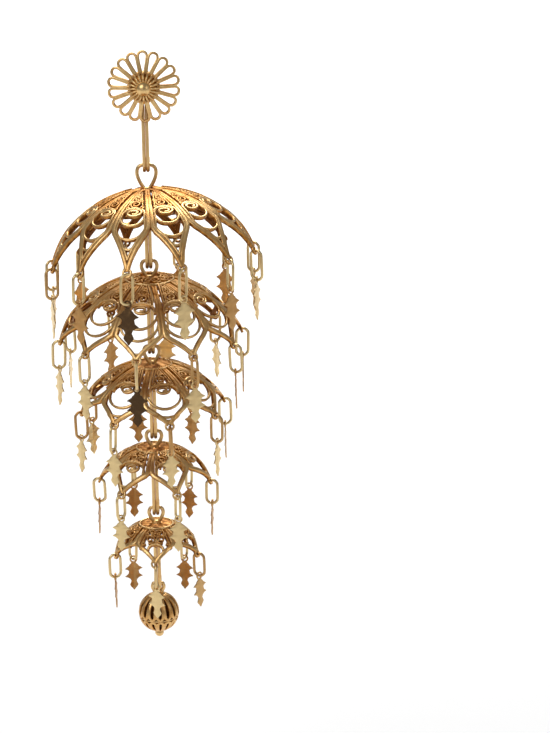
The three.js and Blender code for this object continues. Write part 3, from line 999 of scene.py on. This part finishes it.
# %% The rosette
ROSETTE_PETALS = 18
ROSETTE_TURN = math.radians(91)
ROSETTE_SPHERE = 20.0
ROSETTE_FRONT = -2.2
FLOWER_WIRES = 20
COLLAR_RADIUS = 2.75
COLLAR_FRONT = -1.75
TO_FRONT = Matrix.Rotation(math.radians(90), 4, "X")
LOOP = [(0, 2.3), (0.26, 2.6), (0.42, 3.3), (0.58, 4.2), (0.72, 5.0), (0.8, 5.5), (0.78, 5.9), (0.62, 6.22),
        (0.34, 6.4), (0, 6.46)]
SPOKE = [(-3.25, 0.8), (-3.45, 1.5), (-3.2, 2.2), (-2.5, 2.75), (-1.7, 2.85)]
BOSS = [(0, 0.6), (2.3, 0.6), (2.5, 0.8), (2.5, 1.7), (2.2, 2.4), (1.2, 2.8), (0, 2.9)]

half_loop = [(x, r, 0) for x, r in LOOP]
loop_path = path(half_loop + mirrored(half_loop[-2:0:-1]), closed=True)
loops = domed_wire("loops", [loop_path], width=0.46, depth=0.45, sphere=ROSETTE_SPHERE,
                   count=ROSETTE_PETALS, first=ROSETTE_TURN, tilt=(math.pi / 2, 0.0, 0.0),
                   place=(0, ROSETTE_FRONT, 0), wander=0.08, bloom=0.1)
spokes = wire("spokes", [path([(0, y, r) for y, r in SPOKE])], thick=0.36, count=FLOWER_WIRES,
              axis=(0, 1, 0), wander=0.04)
collar_path = path([(x, COLLAR_FRONT, z) for x, z in circle(COLLAR_RADIUS, 24)], closed=True)
collar = wire("collar", [collar_path], thick=0.4, smoothness=2)
boss = turned("boss", BOSS, 32, TO_FRONT)
# The boss is painted darker: painted shade behind the flower's wires.
mark(boss, "recess", [0.4] * len(boss.data.vertices))
bead = turned("bead", ball_profile(1.4, 3.1), 24, TO_FRONT)
finished("ear_rosette_filigree", [loops, spokes, collar, boss, bead], "ear_part",
         ["ear_rosette"])

# %% [markdown]
# A two-wire hanger is soldered behind the rosette and hooks through the first dome's ring. The pin and
# its round pad are plain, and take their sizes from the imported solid.

# %% The hanger and the ear pin
BAR_TOP = -2.9
bar_start = [(-HOOK_RADIUS, BAR_TOP), (-HOOK_RADIUS, BAR_TOP - 0.5)]
hanger = wire("hanger", hook_paths(BAR_TOP, pivots["tier_1"], bar_start), HOOK_WIRE, smoothness=3,
              wander=0.04)
finished("hanger_bar_wires", [hanger], "ear_part", ["hanger_bar"])

pin_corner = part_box("ear_post")[1]
pin_length, pad_radius = pin_corner.y / MM, pin_corner.x / MM
pin_outline = [(0, -pin_length), (0.38, 0.3 - pin_length), (0.45, 0.6 - pin_length), (0.45, -0.15),
               (0.62, 0)]
pad_outline = [(pad_radius - 0.12, 0), (pad_radius, 0.12), (pad_radius, 0.38), (pad_radius - 0.15, 0.5),
               (0, 0.5)]
pin = turned("pin", pin_outline + pad_outline, 48, TO_FRONT, gilt_post)
finished("ear_pin", [pin], "ear_part", ["ear_post"])

# %% [markdown]
# ## The wire ball
# The last drop is a hollow ball of bent loops: long ones run from the top to just below the middle and
# short ones come up from the foot. A waist wire covers the place where they meet, and there is a cap at
# each pole, a ring above and a small bead below. A dark ball inside stands for the shade between the
# wires, where the far side hardly shows.

# %% Build the ball
BALL_CENTRE = -101.1
BALL_RADIUS = 3.6
BALL_LOOPS = 15
LOOP_FILL = 0.86
LOOP_START = 0.9
WAIST_DROP = 0.8
KNOB_RADIUS = 0.84
KNOB_DROP = 4.2
SHADE_GAP = 0.75
CAP = [(0, 3.15), (0.9, 3.15), (1.35, 3.25), (1.4, 3.5), (1.1, 3.75), (0.5, 3.95), (0, 4.0)]


def ball_loop(top, bottom):
    """One petal-shaped loop on the ball, drawn flat."""
    side = []
    for part in np.linspace(0, 1, 11):
        down = top + (bottom - top) * part
        room = math.pi / BALL_LOOPS * BALL_RADIUS * math.sin(down / BALL_RADIUS)
        side.append((LOOP_FILL * room * (4 * part * (1 - part)) ** 0.25, down, 0))
    return path(side + mirrored(side[-2:0:-1]), closed=True)


quarter = BALL_RADIUS * math.pi / 2
ball_parts = [
    domed_wire(label, [ball_loop(LOOP_START, end)], width=0.58, depth=0.45, sphere=BALL_RADIUS,
               count=BALL_LOOPS, first=0.2, tilt=(flip, 0.0, 0.0),
               place=(0, 0, BALL_CENTRE + BALL_RADIUS * math.cos(flip)), wander=0.05, bloom=0.17)
    for label, flip, end in (("upper", 0.0, quarter + 0.7), ("lower", math.pi, quarter - 0.95))]
waist = circle(math.sqrt(BALL_RADIUS ** 2 - WAIST_DROP ** 2), 40)
waist_path = path([(x, y, BALL_CENTRE - WAIST_DROP) for x, y in waist], closed=True)
ball_parts.append(wire("waist", [waist_path], thick=0.3, smoothness=1))
ring_base = BALL_CENTRE + BALL_RADIUS
ball_parts.append(wire("ball_ring", [ring_path(2.8, pivots["ball"] - ring_base, ring_base)], RING_WIRE))
for sign in (1, -1):
    ball_parts.append(turned("cap", [(r, BALL_CENTRE + sign * h) for r, h in CAP][::sign], 24))
ball_parts.append(turned("knob", ball_profile(KNOB_RADIUS, BALL_CENTRE - KNOB_DROP), 20))
shade = turned("shade", ball_profile(BALL_RADIUS - SHADE_GAP, BALL_CENTRE, 16), 32)
mark(shade, "recess", [1.0] * len(shade.data.vertices))
finished("filigree_ball_wires", [*ball_parts, shade], "ball", ["filigree_ball"])
